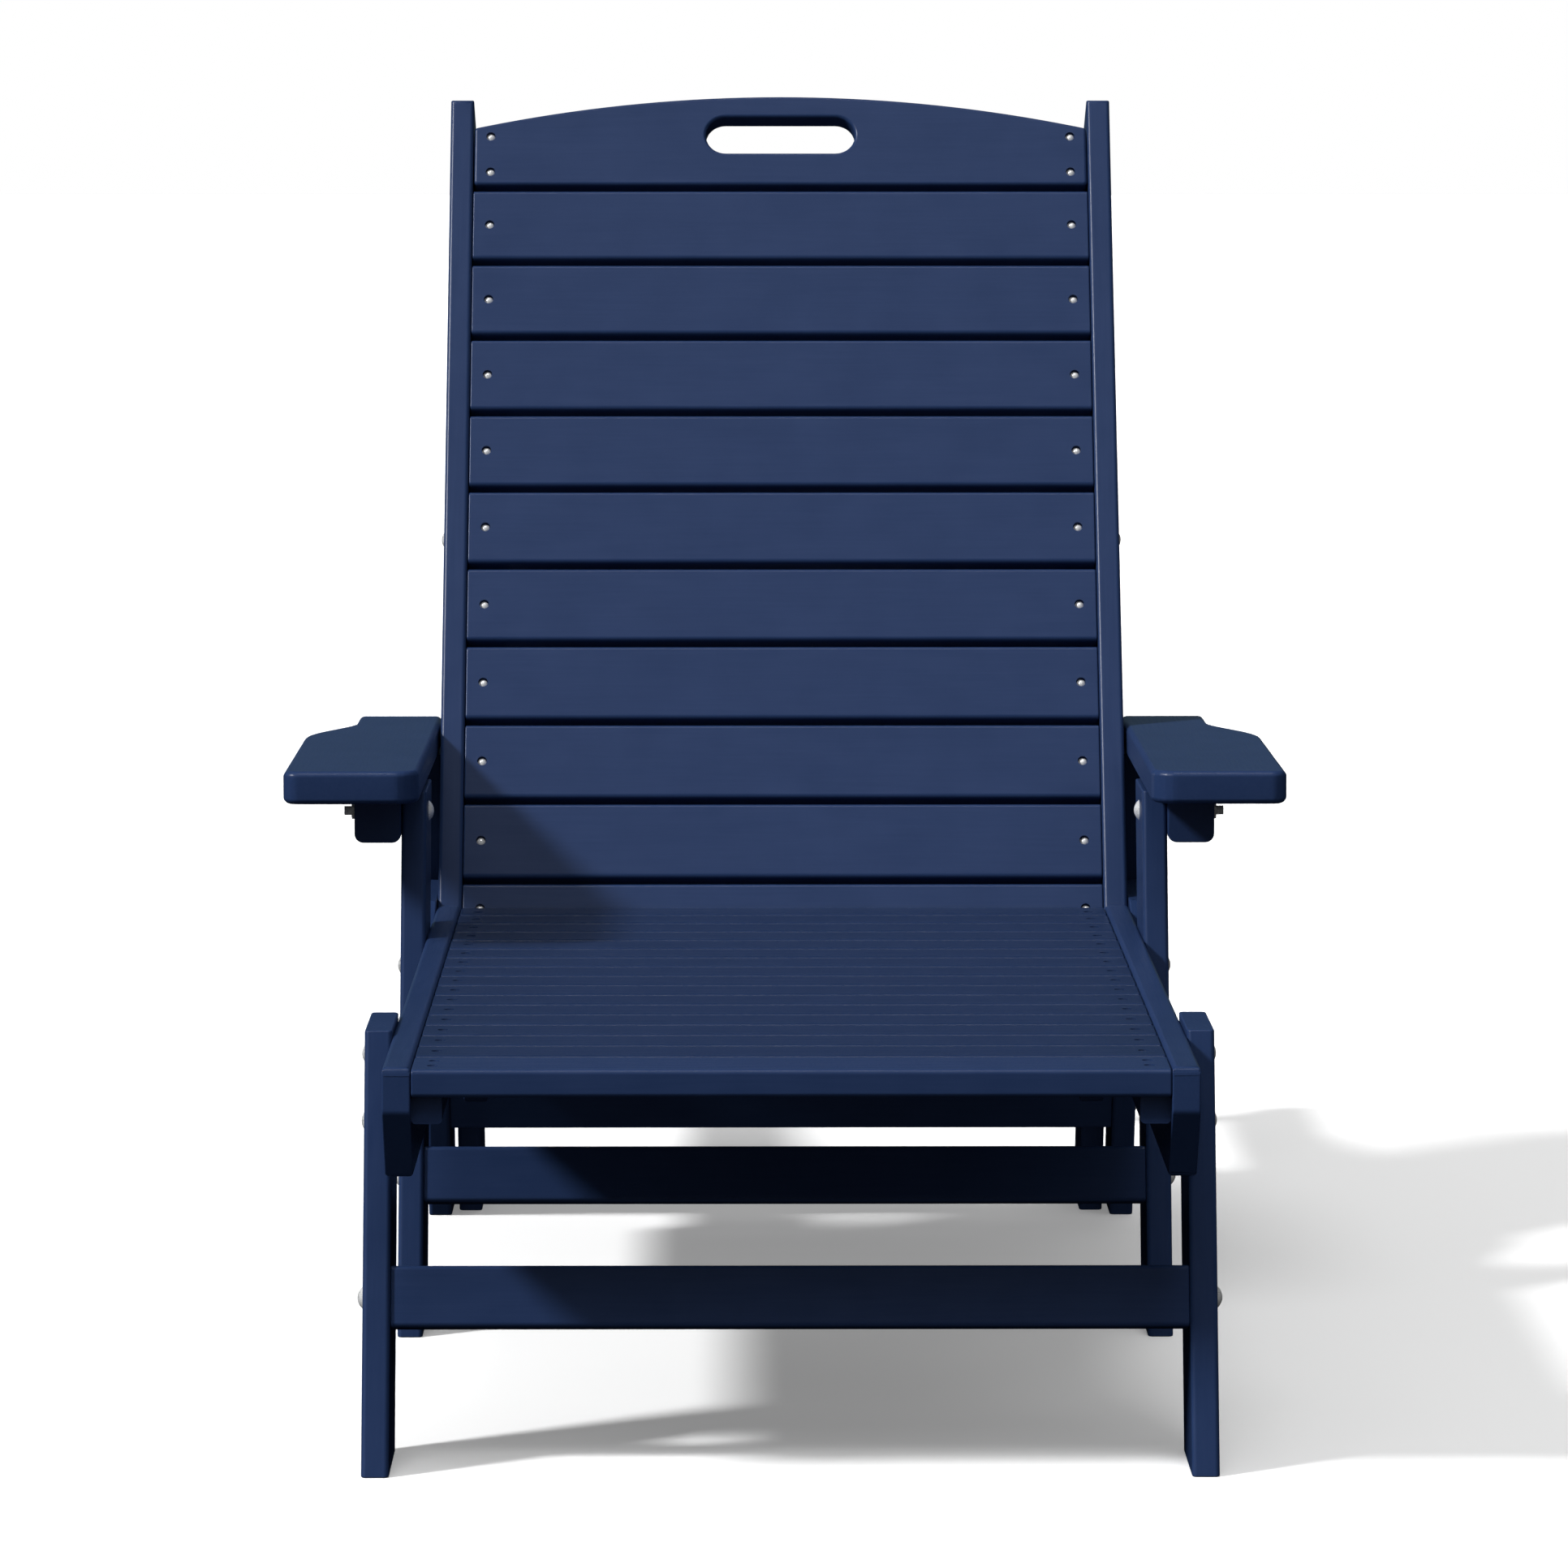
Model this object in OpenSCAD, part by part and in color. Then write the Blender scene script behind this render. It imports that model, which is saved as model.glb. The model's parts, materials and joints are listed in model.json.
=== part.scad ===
// Reclining garden chaise with arms, built from rounded recycled-plastic boards.
// Floor at z = 0, front towards -Y, centre line on x = 0.

/* [Boards] */
// Thickness of every flat board
board_t = 22; // [18:0.5:26]
// Radius of the rounded board edges
edge_r = 4; // [2:0.5:6]
// Gap left beside parts that slide past each other
slide_gap = 0.5; // [0.4:0.1:0.8]

/* [Seat] */
// Clear width between the two seat rails
deck_w = 587; // [560:1:610]
// Height of the rail tops above the floor
seat_h = 337; // [330:1:342]
// Height of a seat rail board
rail_h = 93; // [90:1:98]
// Drop of the slats below the rail tops
slat_drop = 2; // [1:0.5:3]
// Distance from the front end to where the back rises from the seat
seat_l = 1060; // [1056:1:1064]
// Width of the front slat
front_slat_w = 73; // [68:1:76]
// Width of each narrow seat slat
seat_slat_w = 56.3; // [50:0.1:56.6]
// Gap between two seat slats
seat_gap = 5.4; // [4:0.2:5.6]
// Height of the square part of the rail's front end
nose_h = 36; // [28:1:45]
// Length of the sloping cut under the rail's front end
nose_l = 47; // [35:1:60]

/* [Back] */
// Angle of the back above the level when it stands in the front notch
back_angle = 61; // [58:0.5:62]
// Height of the back above the seat, along its slope
back_l = 838; // [832:1:842]
// Depth of a back rail
back_rail_d = 76; // [74:1:78]
// Depth of both pivots behind the front of the back rails
pivot_depth = 58; // [57:0.5:59]
// Width of a back slat
back_slat_w = 73.3; // [68:0.1:74]
// Gap between two back slats
back_gap = 6; // [5:0.25:6.5]
// Height of the top board at its middle
top_board_h = 96; // [93:1:99]
// Rise of the curve along the top board
top_rise = 34; // [30:1:38]
// Length of the finger slot
slot_w = 142; // [120:1:150]
// Height of the finger slot
slot_h = 38; // [34:1:42]
// Distance of the slot's centre below the top
slot_drop = 42; // [40:1:46]

/* [Legs] */
// Width of every leg board
leg_w = 106; // [100:1:108]
// Lean of the front legs and arm posts, foot forward
front_lean = 16.4; // [15:0.1:17.5]
// Lean of the rear legs, foot back
rear_lean = 23; // [22:0.5:24]
// Front edge of the front leg's foot
front_foot = 81; // [75:1:90]
// Front edge of the arm post's foot
post_foot = 708; // [700:1:715]
// Front edge of the rear leg's foot
rear_foot = 1375; // [1370:1:1380]
// Height of the front legs
front_leg_h = 341; // [338:1:346]
// Height of the inner rear legs
inner_leg_h = 250; // [240:1:252]
// Height of a stretcher board
stretcher_h = 49; // [45:1:55]
// Height of the front and middle stretchers' centres
stretcher_z = 134; // [130:1:142]
// Height of the rear stretcher's centre
rear_stretcher_z = 115; // [108:1:118]
// Set-back of a stretcher behind the front edge of its legs
stretcher_inset = 4; // [3:0.5:6]

/* [Arms] */
// Height of the underside of the arms
arm_z = 463.5; // [460:0.5:470]
// Thickness of an arm
arm_t = 29; // [26:0.5:31]
// Rounding of an arm's edges
arm_edge_r = 6; // [4:0.5:7]
// Front end of an arm
arm_front = 729; // [720:1:735]
// Rear end of an arm
arm_rear = 1256; // [1250:1:1262]
// Half width of the chair across the arms
arm_out = 435.5; // [430:0.5:440]
// Half width across the narrow rear of the arms
arm_rear_out = 395.5; // [390:0.5:400]
// Where the outer edge starts to draw in
taper_start = 1048; // [1040:1:1060]
// Length of the curve that draws the edge in
taper_l = 145; // [120:1:160]
// Width of the block under an arm
block_w = 41; // [38:0.5:44]
// Height of the block under an arm
block_h = 44; // [40:1:48]

/* [Prop] */
// Distance from the hinge to the prop's pivot, and from there to its bar
prop_l = 429; // [424:1:432]
// Width of a prop leg
prop_w = 36; // [34:1:38]
// Diameter of the prop's bar
bar_d = 20; // [19:0.5:20]
// Height of a rack rail board
rack_h = 95; // [85:1:98]
// Depth of the notches in the rack rails
notch_depth = 8; // [6:0.5:9]
// Back angles that the notches give
notch_angles = [61, 48, 35, 21, 0];

/* [Fasteners] */
// Diameter of the bolts and lag bolts
bolt_d = 8; // [8:0.5:9]
// Diameter of the slat screws
screw_d = 4.6; // [4:0.2:5]
// Diameter of a slat screw's head
screw_head_d = 8; // [7:0.5:8.4]
// Distance of the slat screws from the end of a slat
screw_inset = 16; // [14:1:18]

/* [Hidden] */
$fn = 32;
navy = [0.13, 0.19, 0.32];
steel = [0.78, 0.79, 0.8];

// planes across the chair, as distances from the centre line
rail_in = deck_w / 2;
rail_out = rail_in + board_t;
leg_out = rail_out + board_t;
back_in = rail_in - slide_gap;
back_out = back_in + board_t;
slat_half = rail_in - slide_gap;
back_slat_half = back_in - slide_gap;
spacer_l = 6;
rack_out = rail_in - spacer_l;
rack_in = rack_out - board_t;
inner_leg_in = rack_out;
inner_leg_out = inner_leg_in + board_t;
cleat_w = 36;
seat_cleat_w = 24;
seat_cleat_front = 12;
prop_out = back_in - cleat_w - 1;
prop_in = prop_out - board_t;
bar_half = rack_out - 1;
arm_in = rail_out + 2;

// heights
rail_z = seat_h - rail_h / 2;
slat_z = seat_h - slat_drop - board_t / 2;
slat_floor = seat_h - slat_drop - board_t;
cleat_z = slat_floor - board_t / 2;

// the hinge of the back, and the seat's rear cut just ahead of its sweep
hinge_y = seat_l + pivot_depth * tan(back_angle / 2);
hinge_z = seat_h - pivot_depth;
cut_gap = 4;
rail_end = 18;
rail_drop = 4;

// distances along the back, measured from the hinge
seat_t = pivot_depth * tan(back_angle / 2);
back_top = seat_t + back_l;
top_board_t = back_top - top_board_h;
back_pitch = back_slat_w + back_gap;
back_slats = 10;
slat_n = pivot_depth - slat_drop - board_t / 2;
cleat_n = slat_n - board_t;
cleat_foot = 14;

// the prop's bar rides level at the height of the hinge
ride_gap = 0.5;
rack_top = hinge_z - bar_d / 2 - ride_gap;
rack_z = rack_top - rack_h / 2;
rack_front = 932;
rack_rear = hinge_y + 2 * prop_l + 24;
chair_l = rack_rear;
tie_h = 52;
tie_inset = 70;
tie_lift = 10;

narrow_slats = 16;
seat_pitch = seat_slat_w + seat_gap;
seat_screw_x = slat_half - screw_inset;
inner_foot = rear_foot + (board_t + stretcher_inset) / cos(rear_lean);

// fits
shank_gap = 0.05;
hole_r = bolt_d / 2 + shank_gap;
screw_hole_r = screw_d / 2 + shank_gap;
head_r = 9;
head_h = 4.5;
nut_r = 7.5;
nut_h = 5.5;
recess_r = screw_head_d / 2 + 0.5;
recess_d = 3.5;
screw_l = 34;
lag_l = 40;
block_front = 828;
block_l = 120;
block_r = 8;
rear_block_l = 58;
block_bolt_z = arm_z - block_h / 2;

// the hinge plate's corners
plate_front = 940;
plate_crown = seat_l - 15;
plate_rear = 1222;
plate_low = 190;
plate_top = seat_h + 6;
plate_bevel = 45;
plate_heel = 60;
plate_toe = 20;

// plan places of the screws that hold the arms to their blocks
arm_screw_x = leg_out + block_w / 2;
arm_screw_l = block_h + 14;

// lag bolts: distance from the front, height, face of the head, depth
function leg_line(foot, lean, z) = foot + z * tan(lean) + leg_w / 2 / cos(lean);
stretcher_ahead = leg_w / 2 - stretcher_inset - board_t / 2;
stretcher_lag_l = 62;
front_lag_zs = [264, 316];
post_lag_zs = [258, 308];
rear_lag_zs = [196, 236];
rear_lag_back = 12;
rack_lag_ys = [956, 982];
rack_lag_z = 256;
tip_cover = 6;
rack_lag_l = leg_out - rack_in - tip_cover;
function stretcher_lag(foot, lean, z) =
    [leg_line(foot, lean, z) - stretcher_ahead / cos(lean), z, leg_out, stretcher_lag_l];
front_lags = concat([stretcher_lag(front_foot, front_lean, stretcher_z)],
    [for (z = front_lag_zs) [leg_line(front_foot, front_lean, z), z, leg_out, lag_l]]);
post_lags = concat([stretcher_lag(post_foot, front_lean, stretcher_z)],
    [for (z = post_lag_zs) [leg_line(post_foot, front_lean, z), z, leg_out, lag_l]]);
rear_lags = [for (z = rear_lag_zs)
    [leg_line(rear_foot, -rear_lean, z) + rear_lag_back, z, leg_out, rack_lag_l]];
rear_stretcher_lag = stretcher_lag(rear_foot, -rear_lean, rear_stretcher_z);
rack_lags = [for (y = rack_lag_ys) [y, rack_lag_z, leg_out, rack_lag_l]];
plate_lags = [[plate_front + 32, plate_top - 52, leg_out, lag_l],
    [plate_front + 70, plate_top - 37, leg_out, lag_l]];
plate_rack_lag = [plate_rear - 36, plate_low + 16, leg_out, rack_lag_l];
rear_block_lag = [arm_rear - rear_block_l / 2, block_bolt_z, leg_out + block_w, block_w + 18];
lags = concat(front_lags, post_lags, rear_lags, [rear_stretcher_lag], rack_lags, plate_lags,
    [plate_rack_lag, rear_block_lag]);
block_bolt_y = leg_line(post_foot, front_lean, block_bolt_z);

seat_slat_nodes = [for (i = [1:narrow_slats + 1]) str("seat_slat_", i)];
back_slat_nodes = [for (i = [1:back_slats]) str("back_slat_", i)];

// ---- outlines ----

// points of an arc of radius r that rounds the corner b between a and c
function fillet(a, b, c, r, n = 6) =
    let (u = (a - b) / norm(a - b), v = (c - b) / norm(c - b))
    let (h = acos(u * v) / 2, m = b + (u + v) / norm(u + v) * r / sin(h))
    let (p = b + u * r / tan(h) - m, q = b + v * r / tan(h) - m)
    let (s = atan2(p.y, p.x), turn = (atan2(q.y, q.x) - s + 540) % 360 - 180)
    [for (i = [0:n]) m + r * [cos(s + turn * i / n), sin(s + turn * i / n)]];

// a polygon with each corner rounded to its own radius, where 0 leaves it sharp
function rounded(pts, radii) =
    [for (i = [0:len(pts) - 1])
        each radii[i] == 0 ? [pts[i]]
            : fillet(pts[(i + len(pts) - 1) % len(pts)], pts[i], pts[(i + 1) % len(pts)], radii[i])];

// cross-section of a board with rounded edges
module section(w, h) {
    square([w - 2 * edge_r, h], center = true);
    square([w, h - 2 * edge_r], center = true);
    for (x = [-1, 1], y = [-1, 1])
        translate([x * (w / 2 - edge_r), y * (h / 2 - edge_r)]) circle(edge_r);
}

// ---- places ----

// measures Y from the front end instead of from the middle of the chair
module from_front() {
    translate([0, -chair_l / 2, 0]) children();
}

module on_side(side) {
    if (side < 0) mirror([1, 0, 0]) children();
    else children();
}

module both_sides() {
    for (side = [-1, 1]) on_side(side) children();
}

// the back's own frame: hinge at the origin, +Y up the slope, +Z out of its front
module on_back() {
    from_front() translate([0, hinge_y, hinge_z]) rotate([back_angle, 0, 0]) children();
}

// the prop's own frame: pivot at the origin, +Y towards its bar
module on_prop() {
    on_back() translate([0, prop_l, 0]) rotate([-2 * back_angle, 0, 0]) children();
}

// a leg's own frame: origin on its centre line at the floor, +Z up its length
module on_leg(foot, lean) {
    translate([0, foot + leg_w / 2 / cos(lean), 0]) rotate([-lean, 0, 0]) children();
}

// ---- boards ----

// board lying across the chair, centred on the origin
module cross_board(l, w, h) {
    rotate([90, 0, 90]) linear_extrude(l, center = true) section(w, h);
}

// board standing on edge along +Y from the origin, its inner face at x
module long_board(x, y, l, h, t = board_t) {
    translate([x + t / 2, y + l, 0]) rotate([90, 0, 0]) linear_extrude(l) section(t, h);
}

// a side outline in the Y-Z plane, thick enough to trim a board between x0 and x1
module side_profile(pts, x0, x1) {
    translate([x0 - 1, 0, 0]) rotate([90, 0, 90]) linear_extrude(x1 - x0 + 2) polygon(pts);
}

// a side outline made into a board between x and x + board_t
module side_slab(pts, x) {
    translate([x, 0, 0]) rotate([90, 0, 90]) linear_extrude(board_t) polygon(pts);
}

// leaning leg board with level ends, its inner face at x
module leg(x, foot, lean, top) {
    run = top / cos(lean) + 2 * leg_w;
    intersection() {
        on_leg(foot, lean) translate([x + board_t / 2, 0, -leg_w]) linear_extrude(run)
            section(board_t, leg_w);
        translate([x - 1, 0, 0]) cube([board_t + 2, chair_l, top]);
    }
}

// everything behind the seat's rear cut, which runs parallel to the back's front
module behind_seat() {
    translate([0, hinge_y, hinge_z]) rotate([back_angle, 0, 0])
        translate([-rail_out, -seat_h, pivot_depth + cut_gap - seat_h])
            cube([2 * rail_out, 3 * seat_h, seat_h]);
}

// ---- fasteners ----

// domed head standing on z = 0
module dome(r, h) {
    ball = (r * r + h * h) / (2 * h);
    intersection() {
        translate([0, 0, h - ball]) sphere(ball, $fn = 48);
        cylinder(h = 2 * h, r = 2 * r);
    }
}

// domed bolt driven inwards along -X from the face at x
module bolt(x, y, z, l) {
    translate([x, y, z]) rotate([0, 90, 0]) {
        dome(head_r, head_h);
        translate([0, 0, -l]) cylinder(h = l, d = bolt_d);
    }
}

module bolt_hole(x, y, z, l) {
    translate([x + 1, y, z]) rotate([0, -90, 0]) cylinder(h = l + 1.5, r = hole_r);
}

module nut(x, y, z) {
    translate([x, y, z]) rotate([0, 90, 0]) difference() {
        cylinder(h = nut_h, r = nut_r, $fn = 6);
        translate([0, 0, -1]) cylinder(h = nut_h + 2, r = hole_r);
    }
}

// tube round a bolt, from x0 to x1
module spacer(x0, x1, y, z) {
    translate([x0, y, z]) rotate([0, 90, 0]) difference() {
        cylinder(h = x1 - x0, r = head_r - 2);
        translate([0, 0, -1]) cylinder(h = x1 - x0 + 2, r = hole_r);
    }
}

module lag_holes() {
    for (p = lags) bolt_hole(p[2], p[0], p[1], p[3]);
}

// screw pointing down from a recess below the surface at the origin
module screw(l = screw_l) {
    translate([0, 0, -recess_d]) dome(screw_head_d / 2, 2);
    translate([0, 0, -recess_d - l]) cylinder(h = l, d = screw_d);
}

module screw_hole(l = screw_l) {
    translate([0, 0, -recess_d]) cylinder(h = recess_d + 1, r = recess_r);
    translate([0, 0, -recess_d - l - 0.5]) cylinder(h = l + 1, r = screw_hole_r);
}

// places of the deck screws as distances from the front
function slat_front(i) = i == 1 ? 0 : front_slat_w + seat_gap + (i - 2) * seat_pitch;
function slat_width(i) = i == 1 ? front_slat_w : seat_slat_w;
seat_screw_ys = concat([24, 51], [for (i = [2:narrow_slats + 1]) slat_front(i) + slat_width(i) / 2
    - (i > narrow_slats ? 10 : 0)]);

module at_seat_screws() {
    for (y = seat_screw_ys) translate([seat_screw_x, y, slat_floor + board_t]) children();
}

// places of the back screws, in the back's own frame
function back_slat_t(i) = top_board_t - back_gap - back_slat_w - (i - 1) * back_pitch;
back_screw_ts = concat([back_top - 44, back_top - 82],
    [for (i = [1:back_slats - 1]) back_slat_t(i) + back_slat_w / 2],
    [back_slat_t(back_slats) + back_slat_w / 2 + 12]);
back_screw_x = back_slat_half - screw_inset;

module at_back_screws() {
    for (t = back_screw_ts) translate([back_screw_x, t, slat_n + board_t / 2]) children();
}

// screws that hold the cleats to the rails, driven outwards along +X
cleat_screw_l = cleat_w + 12;
seat_cleat_screw_l = seat_cleat_w + 12;
seat_cleat_first = 70;
seat_cleat_pitch = 222;
back_cleat_first = 145;
back_cleat_pitch = 215;
seat_cleat_ys = [for (i = [0:4]) seat_cleat_first + i * seat_cleat_pitch];
back_cleat_ts = [for (i = [0:3]) back_cleat_first + i * back_cleat_pitch];

module outward(x, y, z) {
    translate([x, y, z]) rotate([0, -90, 0]) children();
}

module at_seat_cleat_screws() {
    for (y = seat_cleat_ys) outward(rail_in - seat_cleat_w, y, cleat_z) children();
}

module at_back_cleat_screws() {
    for (t = back_cleat_ts) outward(back_in - cleat_w, t, cleat_n) children();
}

// screws up through the blocks into the arms
module at_arm_screws() {
    for (y = [block_front + 25, block_front + block_l - 18, arm_rear - rear_block_l + 12, arm_rear - 12])
        translate([arm_screw_x, y, arm_z - block_h]) rotate([180, 0, 0]) children();
}

// ---- seat ----

module seat_rail(side) {
    pts = [[0, seat_h], [seat_l + 10, seat_h], [seat_l + 10, seat_h - rail_h],
        [nose_l, seat_h - rail_h], [0, seat_h - nose_h]];
    color(navy) from_front() on_side(side) difference() {
        intersection() {
            translate([0, 0, rail_z]) long_board(rail_in, 0, seat_l + 10, rail_h);
            side_profile(rounded(pts, [5, 0, 0, 14, 8]), rail_in, rail_out);
        }
        behind_seat();
        lag_holes();
        at_seat_cleat_screws() screw_hole(seat_cleat_screw_l);
    }
}

module seat_cleats() {
    color(navy) from_front() both_sides() difference() {
        translate([0, 0, cleat_z])
            long_board(rail_in - seat_cleat_w, seat_cleat_front, seat_l - seat_cleat_front, board_t,
                seat_cleat_w);
        behind_seat();
        at_seat_screws() screw_hole();
        at_seat_cleat_screws() screw_hole(seat_cleat_screw_l);
    }
}

module seat_slat(i) {
    color(navy) from_front() difference() {
        translate([0, slat_front(i) + slat_width(i) / 2, slat_z])
            cross_board(2 * slat_half, slat_width(i), board_t);
        behind_seat();
        both_sides() at_seat_screws() screw_hole();
    }
}

// ---- legs and stretchers ----

module front_leg(side) {
    color(navy) from_front() on_side(side) difference() {
        leg(rail_out, front_foot, front_lean, front_leg_h);
        lag_holes();
    }
}

module arm_post(side) {
    color(navy) from_front() on_side(side) difference() {
        leg(rail_out, post_foot, front_lean, arm_z);
        lag_holes();
        bolt_hole(leg_out, block_bolt_y, block_bolt_z, board_t);
    }
}

module rear_leg(side) {
    color(navy) from_front() on_side(side) difference() {
        leg(rail_out, rear_foot, -rear_lean, arm_z);
        translate([rail_out - 1, arm_rear, arm_z]) rotate([-45, 0, 0]) cube([board_t + 2, leg_w, leg_w]);
        lag_holes();
    }
}

module inner_legs() {
    color(navy) from_front() both_sides() difference() {
        leg(inner_leg_in, inner_foot, -rear_lean, inner_leg_h);
        lag_holes();
    }
}

module stretcher(foot, lean, z) {
    color(navy) from_front() difference() {
        on_leg(foot, lean) translate([0, -stretcher_ahead, (z - stretcher_ahead * sin(lean)) / cos(lean)])
            cross_board(2 * rail_out, board_t, stretcher_h);
        both_sides() lag_holes();
    }
}

module front_stretcher() {
    stretcher(front_foot, front_lean, stretcher_z);
}

module middle_stretcher() {
    stretcher(post_foot, front_lean, stretcher_z);
}

module rear_stretcher() {
    stretcher(rear_foot, -rear_lean, rear_stretcher_z);
}

// ---- rear frame ----

module rack_rail(side) {
    pts = [[rack_front, rack_top], [rack_rear, rack_top], [rack_rear, rack_top - rack_h / 2],
        [rack_rear - nose_l, rack_top - rack_h], [rack_front, rack_top - rack_h]];
    color(navy) from_front() on_side(side) difference() {
        intersection() {
            translate([0, 0, rack_z]) long_board(rack_in, rack_front, rack_rear - rack_front, rack_h);
            side_profile(rounded(pts, [8, 8, 8, 14, 8]), rack_in, rack_out);
        }
        for (a = notch_angles)
            translate([rack_in - 1, hinge_y + 2 * prop_l * cos(a), hinge_z - notch_depth])
                rotate([0, 90, 0]) cylinder(h = board_t + 2, r = bar_d / 2 + ride_gap);
        lag_holes();
    }
}

module rack_tie() {
    color(navy) from_front() translate([0, rack_rear - tie_inset, rack_top - rack_h + tie_lift + tie_h / 2])
        cross_board(2 * rack_in, board_t, tie_h);
}

module hinge_plate(side) {
    pts = [[plate_front, plate_top - plate_bevel], [plate_crown, plate_top],
        [plate_rear, plate_top], [plate_rear, plate_low + plate_heel],
        [plate_rear - plate_toe, plate_low], [plate_front, plate_low]];
    color(navy) from_front() on_side(side) difference() {
        side_slab(rounded(pts, [12, 10, 12, 12, 12, 12]), rail_out);
        lag_holes();
        bolt_hole(leg_out, hinge_y, hinge_z, board_t);
    }
}

// ---- arms ----

// plan of the right arm
function taper_x(u) = arm_out - (arm_out - arm_rear_out) * (1 - cos(180 * u)) / 2;
arm_corners = rounded([[arm_in, arm_rear], [arm_in, arm_front], [arm_out, arm_front],
    [arm_out, taper_start]], [0, 24, 14, 0]);
arm_taper = [for (i = [1:16]) [taper_x(i / 16), taper_start + taper_l * i / 16]];
arm_plan = concat(arm_corners, arm_taper, [[arm_rear_out, arm_rear]]);

module arm(side) {
    color(navy) from_front() on_side(side) difference() {
        translate([0, 0, arm_z + arm_edge_r]) minkowski() {
            linear_extrude(arm_t - 2 * arm_edge_r) offset(delta = -arm_edge_r) polygon(arm_plan);
            sphere(arm_edge_r, $fn = 20);
        }
        at_arm_screws() screw_hole(arm_screw_l);
    }
}

module arm_block(y, l) {
    pts = [[0, 0], [block_w, 0], [block_w, -block_h], [0, -block_h]];
    translate([leg_out, y + l, arm_z]) rotate([90, 0, 0]) linear_extrude(l)
        polygon(rounded(pts, [0, 0, block_r, block_r]));
}

module arm_blocks() {
    color(navy) from_front() both_sides() difference() {
        union() {
            arm_block(block_front, block_l);
            arm_block(arm_rear - rear_block_l, rear_block_l);
        }
        lag_holes();
        bolt_hole(leg_out + block_w, block_bolt_y, block_bolt_z, block_w);
        at_arm_screws() screw_hole(arm_screw_l);
    }
}

// ---- fixed fasteners ----

module frame_screws() {
    color(steel) from_front() both_sides() {
        at_seat_screws() screw();
        at_seat_cleat_screws() screw(seat_cleat_screw_l);
        at_arm_screws() screw(arm_screw_l);
    }
}

module lag_bolts() {
    color(steel) from_front() both_sides() for (p = lags) bolt(p[2], p[0], p[1], p[3]);
}

// the bolt through each arm block has its nut outside; the hinge bolts have theirs inside
module through_bolts() {
    block_face = leg_out + block_w;
    color(steel) from_front() both_sides() {
        translate([rail_out, block_bolt_y, block_bolt_z]) rotate([0, -90, 0]) {
            dome(head_r, head_h);
            translate([0, 0, -block_face + rail_out - 12])
                cylinder(h = block_face - rail_out + 12, d = bolt_d);
        }
        nut(block_face, block_bolt_y, block_bolt_z);
        bolt(leg_out, hinge_y, hinge_z, leg_out - back_in + nut_h + 0.5);
        nut(back_in - nut_h - 0.2, hinge_y, hinge_z);
    }
}

module frame_spacers() {
    color(steel) from_front() both_sides() {
        for (p = rack_lags) spacer(rack_out, rail_in, p[0], p[1]);
        for (p = rear_lags) spacer(inner_leg_out, rail_out, p[0], p[1]);
        spacer(rack_out, rail_out, plate_rack_lag[0], plate_rack_lag[1]);
    }
}

// ---- back ----

module back_rail(side) {
    low = -rail_end;
    n0 = pivot_depth - back_rail_d;
    top = back_top - rail_drop;
    pts = [[low, pivot_depth], [top, pivot_depth], [top, n0], [low, n0]];
    color(navy) on_back() on_side(side) difference() {
        intersection() {
            translate([0, 0, pivot_depth - back_rail_d / 2])
                long_board(back_in, low, top - low, back_rail_d);
            side_profile(rounded(pts, [8, 6, 6, 16]), back_in, back_out);
        }
        bolt_hole(back_out, 0, 0, board_t);
        bolt_hole(back_out, prop_l, 0, board_t);
        at_back_cleat_screws() screw_hole(cleat_screw_l);
    }
}

module back_cleats() {
    color(navy) on_back() both_sides() difference() {
        translate([0, 0, cleat_n])
            long_board(back_in - cleat_w, cleat_foot, back_top - cleat_foot - 40, board_t, cleat_w);
        at_back_screws() screw_hole();
        at_back_cleat_screws() screw_hole(cleat_screw_l);
    }
}

// front outline of the top board, with its curved top edge
module top_outline() {
    arc_r = (pow(back_slat_half, 2) + pow(top_rise, 2)) / (2 * top_rise);
    difference() {
        intersection() {
            translate([-back_slat_half, top_board_t]) square([2 * back_slat_half, top_board_h]);
            translate([0, back_top - arc_r]) circle(arc_r, $fn = 480);
        }
        translate([0, back_top - slot_drop]) {
            square([slot_w - slot_h, slot_h], center = true);
            for (x = [-1, 1]) translate([x * (slot_w - slot_h) / 2, 0]) circle(d = slot_h, $fn = 40);
        }
    }
}

module top_board() {
    color(navy) on_back() difference() {
        translate([0, 0, slat_n - board_t / 2 + edge_r]) minkowski() {
            linear_extrude(board_t - 2 * edge_r) offset(delta = -edge_r) top_outline();
            sphere(edge_r, $fn = 16);
        }
        both_sides() at_back_screws() screw_hole();
    }
}

module back_slat(i) {
    color(navy) on_back() difference() {
        translate([0, back_slat_t(i) + back_slat_w / 2, slat_n])
            cross_board(2 * back_slat_half, back_slat_w, board_t);
        both_sides() at_back_screws() screw_hole();
    }
}

module back_screws() {
    color(steel) on_back() both_sides() {
        at_back_screws() screw();
        at_back_cleat_screws() screw(cleat_screw_l);
    }
}

// ---- prop ----

module prop_bolts() {
    color(steel) on_back() both_sides() {
        bolt(back_out, prop_l, 0, back_out - prop_in + nut_h + 1.5);
        spacer(prop_out + 0.3, back_in, prop_l, 0);
        nut(prop_in - nut_h - 0.3, prop_l, 0);
    }
}

module prop_legs() {
    color(navy) on_prop() both_sides() difference() {
        translate([prop_in, 0, 0]) rotate([90, 0, 90]) linear_extrude(board_t) {
            translate([0, -prop_w / 2]) square([prop_l, prop_w]);
            circle(d = prop_w);
            translate([prop_l, 0]) circle(d = prop_w);
        }
        bolt_hole(prop_out, 0, 0, board_t);
        translate([prop_in - 1, prop_l, 0]) rotate([0, 90, 0])
            cylinder(h = board_t + 2, d = bar_d + 0.04);
    }
}

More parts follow.
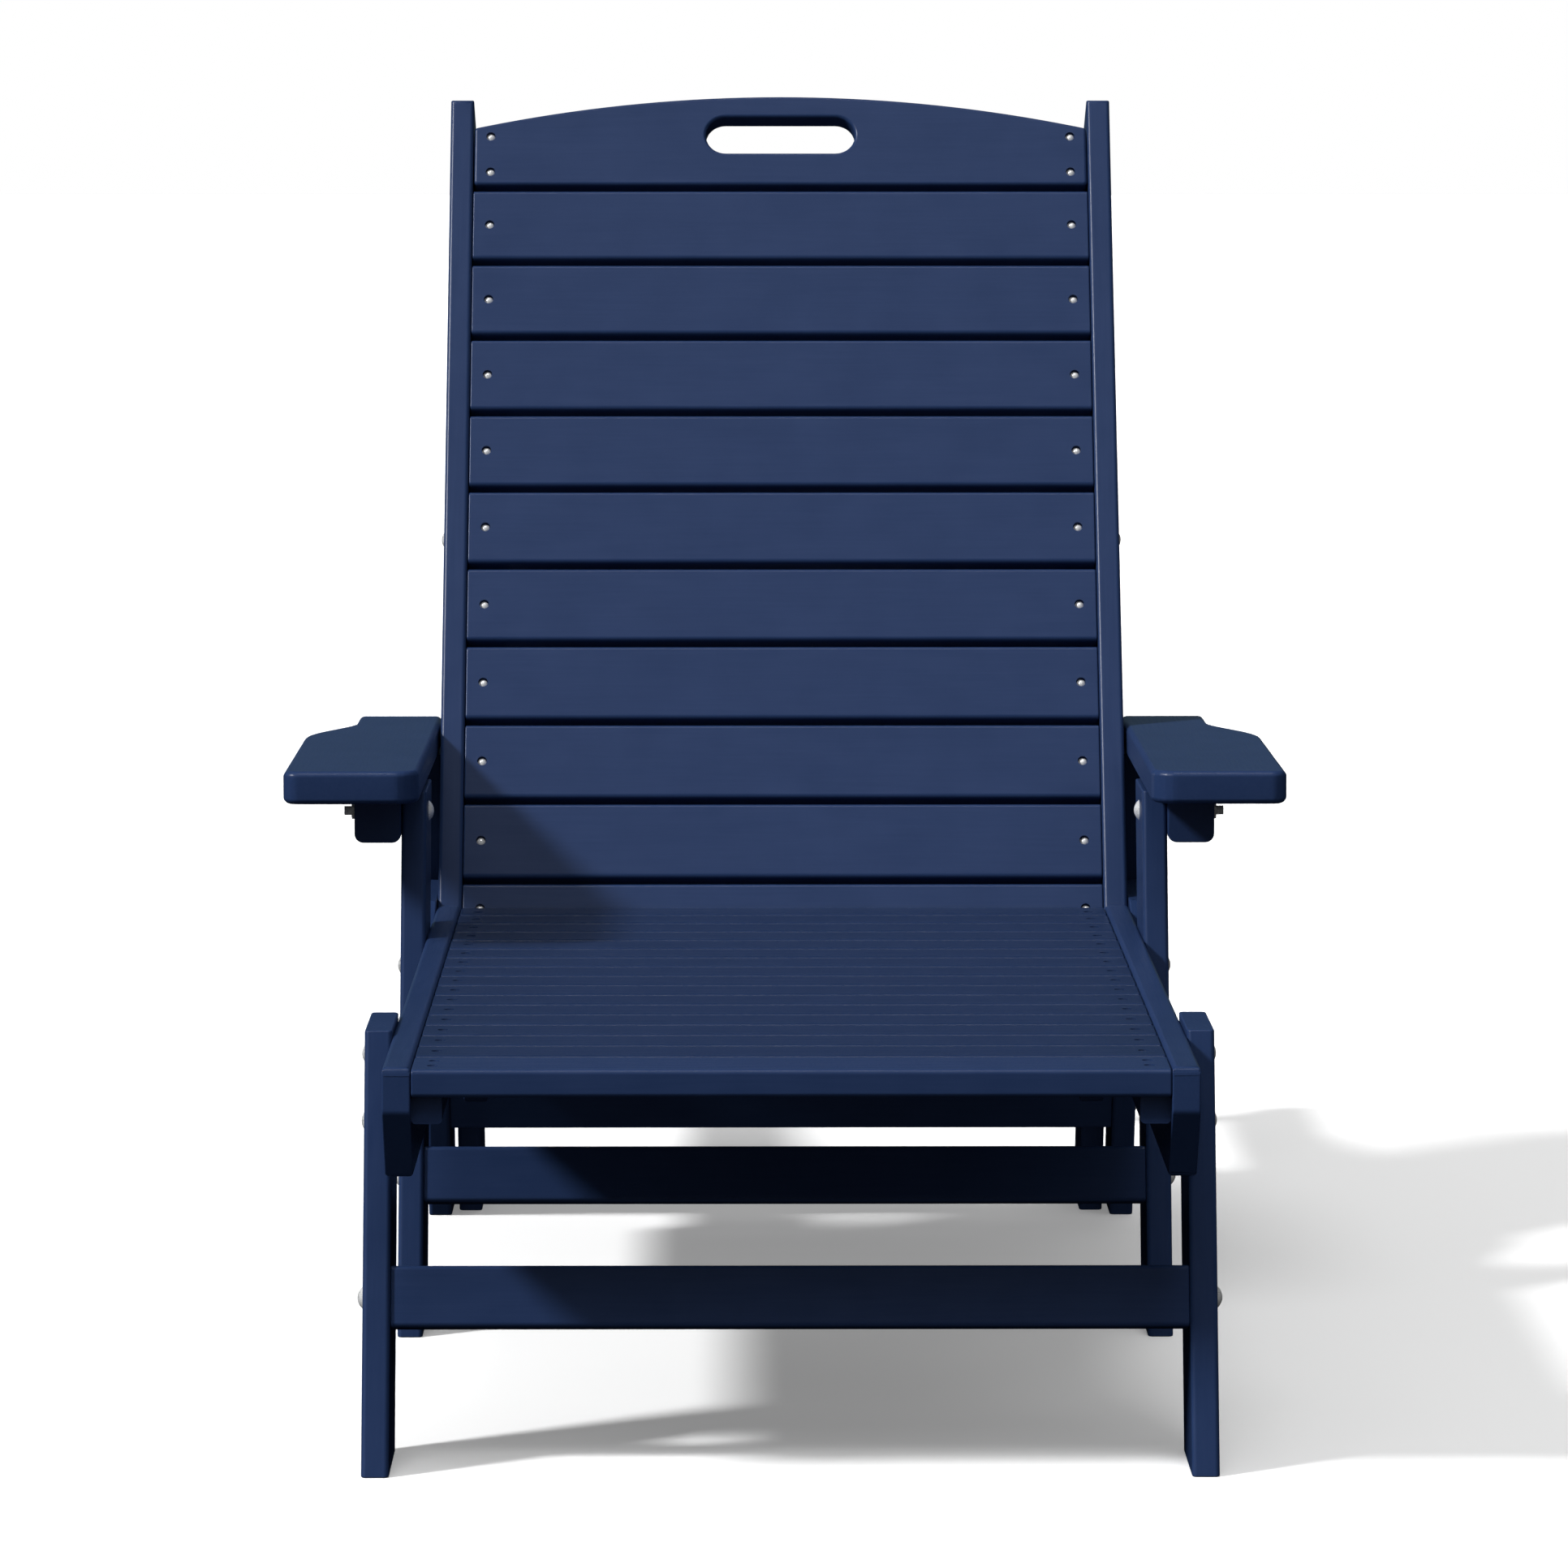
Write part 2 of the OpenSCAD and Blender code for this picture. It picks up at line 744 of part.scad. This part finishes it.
module prop_bar() {
    wall = 2;
    color(steel) on_prop() translate([-bar_half, prop_l, 0]) rotate([0, 90, 0]) difference() {
        cylinder(h = 2 * bar_half, d = bar_d);
        translate([0, 0, -1]) cylinder(h = 2 * bar_half + 2, d = bar_d - 2 * wall);
    }
}

// ---- nodes ----

seat_rail(-1);  // seat_rail_left
seat_rail(1);  // seat_rail_right
seat_cleats();
for (i = [1:narrow_slats + 1]) seat_slat(i);
front_leg(-1);  // front_leg_left
front_leg(1);  // front_leg_right
arm_post(-1);  // arm_post_left
arm_post(1);  // arm_post_right
rear_leg(-1);  // rear_leg_left
rear_leg(1);  // rear_leg_right
inner_legs();
rack_rail(-1);  // rack_rail_left
rack_rail(1);  // rack_rail_right
hinge_plate(-1);  // hinge_plate_left
hinge_plate(1);  // hinge_plate_right
front_stretcher();
middle_stretcher();
rear_stretcher();
rack_tie();
arm(-1);  // arm_left
arm(1);  // arm_right
arm_blocks();
frame_screws();
lag_bolts();
through_bolts();
frame_spacers();
back_rail(-1);  // back_rail_left
back_rail(1);  // back_rail_right
back_cleats();
top_board();
for (i = [1:back_slats]) back_slat(i);
back_screws();
prop_bolts();
prop_legs();
prop_bar();
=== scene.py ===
"""The looks of a folding chaise lounge in plastic lumber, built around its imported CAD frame.

Every board is a copy of its CAD node with its outline edges slightly rounded, in a drawn-grain
plastic that runs along that board. Screws, bolts, spacers and the prop's bar keep their CAD shapes
and get steel. Lengths are in metres, and the frame has +Z up and the foot end towards -Y.
"""

import json
import math

import bmesh
import bpy
import numpy as np
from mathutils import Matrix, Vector

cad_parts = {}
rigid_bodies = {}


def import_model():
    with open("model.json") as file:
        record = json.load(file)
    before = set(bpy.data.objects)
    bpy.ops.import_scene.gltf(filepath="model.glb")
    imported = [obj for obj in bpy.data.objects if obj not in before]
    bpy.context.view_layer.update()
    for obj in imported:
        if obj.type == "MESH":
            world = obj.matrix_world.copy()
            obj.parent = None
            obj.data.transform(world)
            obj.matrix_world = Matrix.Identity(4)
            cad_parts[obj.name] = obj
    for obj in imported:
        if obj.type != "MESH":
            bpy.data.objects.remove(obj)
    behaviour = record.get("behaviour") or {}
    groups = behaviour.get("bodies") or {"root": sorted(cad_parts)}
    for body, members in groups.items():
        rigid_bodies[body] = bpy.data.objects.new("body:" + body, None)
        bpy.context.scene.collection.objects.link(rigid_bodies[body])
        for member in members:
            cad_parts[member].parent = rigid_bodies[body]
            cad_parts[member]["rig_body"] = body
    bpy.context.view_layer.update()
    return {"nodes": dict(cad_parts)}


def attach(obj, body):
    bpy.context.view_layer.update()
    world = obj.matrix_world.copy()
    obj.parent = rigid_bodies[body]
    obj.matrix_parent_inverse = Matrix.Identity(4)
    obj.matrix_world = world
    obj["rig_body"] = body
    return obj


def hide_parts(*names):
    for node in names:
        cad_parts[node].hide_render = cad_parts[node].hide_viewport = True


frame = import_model()

# ---- pieces ----

STEEL_NODES = (
    "frame_screws", "lag_bolts", "through_bolts", "frame_spacers", "back_screws", "prop_bolts",
)
TUBE_NODES = ("prop_bar",)
FRONT_SLAT = "seat_slat_1"

CUT_ROUND = 0.0014  # radius of a rounded board edge
ROUND_STEPS = 4
HOLE_SPAN = 0.045  # closed edge loops smaller than this are holes, which stay crisp
SHARP_ANGLE = math.radians(40)
FLAT_ANGLE = math.radians(0.5)  # faces that meet flatter than this become one
WELD = 0.0003  # corners closer than this become one
CROSSWISE = 0.7  # share of X in the direction of a board that lies across the chair

# ---- plastic ----

NAVY_DARK = (0.0150, 0.0325, 0.0940)
NAVY_LIGHT = (0.0190, 0.0385, 0.1070)
SEAT_PAINTED_SHADE = 0.72  # painted shade: the narrow seat slats are toned down against the other boards, a darker copy of the plastic that stands in for their shading

# Noise scales are per metre, and a stretched one has its second number along the board.
STREAK_SCALE = (420, 14, 420)
FIBRE_SCALE = (1500, 110, 1500)
MOTTLE_SCALE = 22
PIT_SCALE = 700
STREAK_DEPTH = 0.00006
FIBRE_DEPTH = 0.00004
PIT_DEPTH = 0.00006
GRAIN_BUMP = 0.20
PLASTIC_ROUGH = (0.28, 0.38)  # from its smoothest to its roughest
PLASTIC_SPECULAR = 0.20
PLASTIC_IOR = 1.5

# ---- steel ----

FASTENER_COLOUR = (0.90, 0.91, 0.92)
FASTENER_ROUGH = 0.28
FASTENER_BRUSH = (900, 900, 900)
TUBE_COLOUR = (0.70, 0.71, 0.73)
TUBE_ROUGH = 0.34
TUBE_BRUSH = (30, 900, 900)  # the bar lies along X
SMEAR_SCALE = 160
SMEAR_TONE = 0.86  # the darkest smear, as a share of the steel's colour
BRUSH_DEPTH = 0.00004
BRUSH_BUMP = 0.3
STEEL_METALLIC = 0.35  # bare metal would look black in a plain room

# ---- camera, room and light ----

CAMERA_PLACE = (-0.041, -6.610, 1.129)
CAMERA_YAW = 0.36  # degrees towards +X
CAMERA_PITCH = 5.82  # degrees below the horizon
LENS = 169.24
SENSOR = 36.0

FLOOR_HALF = 45.0
FLOOR_COLOUR = (0.98, 0.98, 0.98, 1)
FLOOR_ROUGH = 0.6
FLOOR_GLOW = 0.21
DOME_RADIUS = 60.0
DOME_ROUNDS = 4  # times that the dome's faces are split
DOME_GLOW = 1.0
ROOM_GLOW = 0.08
WHITE = (1, 1, 1, 1)

SHEEN_COLOUR = (0.6, 0.9, 1.0)


# ---- node helpers ----

def new_material(name):
    material = bpy.data.materials.new(name)
    material.use_nodes = True
    tree = material.node_tree
    shader = next(n for n in tree.nodes if n.type == "BSDF_PRINCIPLED")
    return material, tree, shader


def noise(tree, vector, scale, detail, roughness):
    """A noise texture on a vector, as its 0 to 1 output."""
    node = tree.nodes.new("ShaderNodeTexNoise")
    node.inputs["Scale"].default_value = scale
    node.inputs["Detail"].default_value = detail
    node.inputs["Roughness"].default_value = roughness
    tree.links.new(vector, node.inputs["Vector"])
    return node.outputs["Fac"]


def mapped(tree, vector, rotation=(0, 0, 0), scale=(1, 1, 1)):
    node = tree.nodes.new("ShaderNodeMapping")
    node.inputs["Rotation"].default_value = rotation
    node.inputs["Scale"].default_value = scale
    tree.links.new(vector, node.inputs["Vector"])
    return node.outputs["Vector"]


def object_place(tree):
    return tree.nodes.new("ShaderNodeTexCoord").outputs["Object"]


def blend_of(tree, a, b, share):
    """a and b mixed as numbers, with that share of b."""
    node = tree.nodes.new("ShaderNodeMix")
    node.inputs["Factor"].default_value = share
    tree.links.new(a, node.inputs["A"])
    tree.links.new(b, node.inputs["B"])
    return node.outputs["Result"]


def ranged(tree, value, low, high, start=0.3, end=0.7):
    """value between start and end, carried to low and high."""
    node = tree.nodes.new("ShaderNodeMapRange")
    node.inputs["From Min"].default_value = start
    node.inputs["From Max"].default_value = end
    node.inputs["To Min"].default_value = low
    node.inputs["To Max"].default_value = high
    tree.links.new(value, node.inputs["Value"])
    return node.outputs["Result"]


def tinted(tree, value, dark, light, start=0.35, end=0.65):
    """value turned into a colour from dark to light."""
    node = tree.nodes.new("ShaderNodeValToRGB")
    ramp = node.color_ramp.elements
    ramp[0].position, ramp[0].color = start, (*dark, 1)
    ramp[1].position, ramp[1].color = end, (*light, 1)
    tree.links.new(value, node.inputs["Fac"])
    return node.outputs["Color"]


def bumped(tree, height, depth, strength, before=None):
    """A bump of that depth, laid over the normal that comes before it."""
    node = tree.nodes.new("ShaderNodeBump")
    node.inputs["Strength"].default_value = strength
    node.inputs["Distance"].default_value = depth
    tree.links.new(height, node.inputs["Height"])
    if before is not None:
        tree.links.new(before, node.inputs["Normal"])
    return node.outputs["Normal"]


# ---- materials ----

def board_material(name, turn, painted_shade_scale):
    """Navy plastic lumber, whose drawn grain runs along +Y once the place is turned by `turn`."""
    material, tree, shader = new_material(name)
    place = mapped(tree, object_place(tree), rotation=turn)
    stretched = mapped(tree, place, scale=STREAK_SCALE)
    streaks = noise(tree, stretched, scale=1.0, detail=4, roughness=0.6)
    stretched = mapped(tree, place, scale=FIBRE_SCALE)
    fibres = noise(tree, stretched, scale=1.0, detail=2, roughness=0.5)
    mottle = noise(tree, place, MOTTLE_SCALE, detail=4, roughness=0.55)
    pits = noise(tree, place, PIT_SCALE, detail=2, roughness=0.5)
    tone = blend_of(tree, streaks, mottle, share=0.5)
    # The navy is scaled down here, which is painted shade on the narrow seat slats.
    dark, light = (tuple(painted_shade_scale * c for c in navy) for navy in (NAVY_DARK, NAVY_LIGHT))
    tree.links.new(tinted(tree, tone, dark, light), shader.inputs["Base Color"])
    gloss = ranged(tree, blend_of(tree, streaks, pits, share=0.4), *PLASTIC_ROUGH)
    tree.links.new(gloss, shader.inputs["Roughness"])
    normal = None
    for height, depth in ((streaks, STREAK_DEPTH), (fibres, FIBRE_DEPTH), (pits, PIT_DEPTH)):
        normal = bumped(tree, height, depth, GRAIN_BUMP, normal)
    tree.links.new(normal, shader.inputs["Normal"])
    shader.inputs["Specular IOR Level"].default_value = PLASTIC_SPECULAR
    shader.inputs["IOR"].default_value = PLASTIC_IOR
    return material


def steel_material(name, colour, rough, brush):
    """Satin steel with fine marks, stretched by brush."""
    material, tree, shader = new_material(name)
    place = object_place(tree)
    marks = noise(tree, mapped(tree, place, scale=brush), scale=1.0, detail=3, roughness=0.6)
    smears = noise(tree, place, SMEAR_SCALE, detail=3, roughness=0.5)
    dark = tuple(SMEAR_TONE * c for c in colour)
    tree.links.new(tinted(tree, smears, dark, colour), shader.inputs["Base Color"])
    wear = blend_of(tree, marks, smears, share=0.5)
    rough_here = ranged(tree, wear, low=0.8 * rough, high=1.25 * rough)
    tree.links.new(rough_here, shader.inputs["Roughness"])
    tree.links.new(bumped(tree, marks, BRUSH_DEPTH, BRUSH_BUMP), shader.inputs["Normal"])
    shader.inputs["Metallic"].default_value = STEEL_METALLIC
    return material


# ---- boards ----

def joined_groups(edges):
    """Edges grouped where they share an end."""
    left = set(edges)
    while left:
        stack, group = [left.pop()], []
        while stack:
            edge = stack.pop()
            group.append(edge)
            near = {e for v in edge.verts for e in v.link_edges if e in left}
            left -= near
            stack.extend(near)
        yield group


def span(edges):
    """Diagonal of the box around some edges."""
    places = np.array([v.co for e in edges for v in e.verts])
    return float(np.linalg.norm(places.max(0) - places.min(0)))


def rounded_mesh(name, source):
    """The source mesh, welded, with its outline edges rounded and its holes left crisp."""
    mesh = bpy.data.meshes.new(name)
    mesh.from_pydata([v.co for v in source.vertices], [], [p.vertices for p in source.polygons])
    shape = bmesh.new()
    shape.from_mesh(mesh)
    bmesh.ops.remove_doubles(shape, verts=shape.verts, dist=WELD)
    bmesh.ops.dissolve_limit(shape, angle_limit=FLAT_ANGLE, verts=shape.verts, edges=shape.edges)
    sharp = [e for e in shape.edges if e.is_manifold and e.calc_face_angle() > SHARP_ANGLE]
    outline = [e for group in joined_groups(sharp) if span(group) > HOLE_SPAN for e in group]
    if outline:
        bmesh.ops.bevel(
            shape, geom=outline, offset=CUT_ROUND, segments=ROUND_STEPS, profile=0.5,
            affect="EDGES", clamp_overlap=False,
        )
    for face in shape.faces:
        face.smooth = True
    shape.to_mesh(mesh)
    shape.free()
    mesh.set_sharp_from_angle(angle=SHARP_ANGLE)
    return mesh


def board_direction(source):
    """The long direction of a board, or of the right-hand ones in a node that holds pairs."""
    centres = np.array([p.center for p in source.polygons])
    areas = np.array([p.area for p in source.polygons])
    right = centres[:, 0] > 0
    if right.any():
        centres, areas = centres[right], areas[right]
    spread = centres - np.average(centres, axis=0, weights=areas)
    axes = np.linalg.eigh((spread * areas[:, None]).T @ spread)[1]
    return axes[:, -1]


def grain_turn(direction):
    """(key, Euler turn) that carries a board's long direction onto +Y."""
    if abs(direction[0]) > CROSSWISE:
        return "across", (0, 0, math.pi / 2)
    angle = math.atan2(direction[2], direction[1])
    angle -= math.pi * round(angle / math.pi)
    degrees = round(math.degrees(angle))
    return f"along_{degrees % 180}", (math.radians(-degrees), 0, 0)


board_materials = {}


def make_board(node):
    """Stands a rounded copy in for a CAD board, with the grain along it."""
    source = frame["nodes"][node]
    key, turn = grain_turn(board_direction(source.data))
    painted_shade_scale = 1.0
    # Painted shade: the narrow seat slats, though not the front one, get a darker copy of the
    # plastic.
    if node.startswith("seat_slat_") and node != FRONT_SLAT:
        key, painted_shade_scale = "seat_" + key, SEAT_PAINTED_SHADE
    if key not in board_materials:
        board_materials[key] = board_material("board_" + key, turn, painted_shade_scale)
    mesh = rounded_mesh(node + "_finished", source.data)
    mesh.materials.append(board_materials[key])
    piece = bpy.data.objects.new(node + "_finished", mesh)
    bpy.context.scene.collection.objects.link(piece)
    flat = piece.modifiers.new("flat_faces", "WEIGHTED_NORMAL")
    flat.keep_sharp = True
    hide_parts(node)
    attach(piece, source["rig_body"])


def dress(node, material):
    """Gives a CAD node that keeps its shape its material."""
    piece = frame["nodes"][node]
    piece.data.materials.clear()
    piece.data.materials.append(material)


# ---- stage ----

def make_floor():
    """A pale floor, left out of diffuse and glossy rays so that the navy doesn't turn grey."""
    mesh = bpy.data.meshes.new("floor")
    corners = [(x * FLOOR_HALF, y * FLOOR_HALF, 0) for x, y in ((-1, -1), (1, -1), (1, 1), (-1, 1))]
    mesh.from_pydata(corners, [], [(0, 1, 2, 3)])
    floor = bpy.data.objects.new("floor", mesh)
    bpy.context.scene.collection.objects.link(floor)
    material, _, shader = new_material("floor_paper")
    shader.inputs["Base Color"].default_value = FLOOR_COLOUR
    shader.inputs["Roughness"].default_value = FLOOR_ROUGH
    shader.inputs["Specular IOR Level"].default_value = 0.0
    shader.inputs["Emission Color"].default_value = WHITE
    shader.inputs["Emission Strength"].default_value = FLOOR_GLOW
    mesh.materials.append(material)
    floor.visible_diffuse = False
    floor.visible_glossy = False


def make_backdrop():
    """A white dome that throws no light on the chaise."""
    bpy.ops.mesh.primitive_ico_sphere_add(subdivisions=DOME_ROUNDS, radius=DOME_RADIUS)
    dome = bpy.context.object
    dome.name = "backdrop"
    material = bpy.data.materials.new("backdrop_white")
    material.use_nodes = True
    tree = material.node_tree
    tree.nodes.clear()
    glow = tree.nodes.new("ShaderNodeEmission")
    glow.inputs["Strength"].default_value = DOME_GLOW
    out = tree.nodes.new("ShaderNodeOutputMaterial")
    tree.links.new(glow.outputs["Emission"], out.inputs["Surface"])
    dome.data.materials.append(material)
    dome.visible_diffuse = False
    dome.visible_glossy = False
    dome.visible_shadow = False


def travel(turn, drop):
    """Unit vector at that turn from +X towards +Y and that drop below the horizon, in degrees."""
    t, d = math.radians(turn), math.radians(drop)
    return Vector((math.cos(d) * math.cos(t), math.cos(d) * math.sin(t), -math.sin(d)))


def sun(name, turn, drop, strength, width, diffuse=True, glossy=True, colour=(1, 1, 1)):
    """A soft distant light, which may be left out of diffuse shading or of reflections."""
    light = bpy.data.lights.new(name, "SUN")
    light.energy = strength
    light.angle = math.radians(width)
    light.color = colour
    lamp = bpy.data.objects.new(name, light)
    lamp.visible_diffuse = diffuse
    lamp.visible_glossy = glossy
    lamp.rotation_mode = "QUATERNION"
    lamp.rotation_quaternion = travel(turn, drop).to_track_quat("-Z", "Y")
    bpy.context.scene.collection.objects.link(lamp)


def make_camera():
    data = bpy.data.cameras.new("camera")
    data.lens = LENS
    data.sensor_width = SENSOR
    data.clip_end = 2 * DOME_RADIUS
    camera = bpy.data.objects.new("camera", data)
    camera.location = CAMERA_PLACE
    camera.rotation_euler = (math.radians(90 - CAMERA_PITCH), 0, math.radians(-CAMERA_YAW))
    bpy.context.scene.collection.objects.link(camera)
    bpy.context.scene.camera = camera


def make_room():
    """A dim white room that isn't seen in reflections."""
    world = bpy.data.worlds.new("room")
    bpy.context.scene.world = world
    world.use_nodes = True
    sky = next(n for n in world.node_tree.nodes if n.type == "BACKGROUND")
    sky.inputs["Color"].default_value = WHITE
    sky.inputs["Strength"].default_value = ROOM_GLOW
    world.cycles_visibility.glossy = False
    bpy.context.scene.view_settings.view_transform = "Standard"


# ---- scene ----

fastener_steel = steel_material("fastener_steel", FASTENER_COLOUR, FASTENER_ROUGH, FASTENER_BRUSH)
tube_steel = steel_material("tube_steel", TUBE_COLOUR, TUBE_ROUGH, TUBE_BRUSH)
for node in sorted(frame["nodes"]):
    if node in STEEL_NODES:
        dress(node, fastener_steel)
    elif node in TUBE_NODES:
        dress(node, tube_steel)
    else:
        make_board(node)

make_floor()
make_backdrop()
make_camera()
make_room()
sun("key", turn=23, drop=40, strength=3.3, width=8)
sun("front_fill", turn=90, drop=32, strength=0.4, width=90, glossy=False)
sun("high_fill", turn=90, drop=62, strength=0.9, width=30, glossy=False)
sun("overhead", turn=90, drop=90, strength=0.45, width=120, glossy=False)
sun("rear", turn=260, drop=25, strength=0.35, width=50, glossy=False)
sun("edge_strip", turn=90, drop=80, strength=0.35, width=8, diffuse=False)
sun("rear_sheen", turn=270, drop=20, strength=0.055, width=50, diffuse=False, colour=SHEEN_COLOUR)
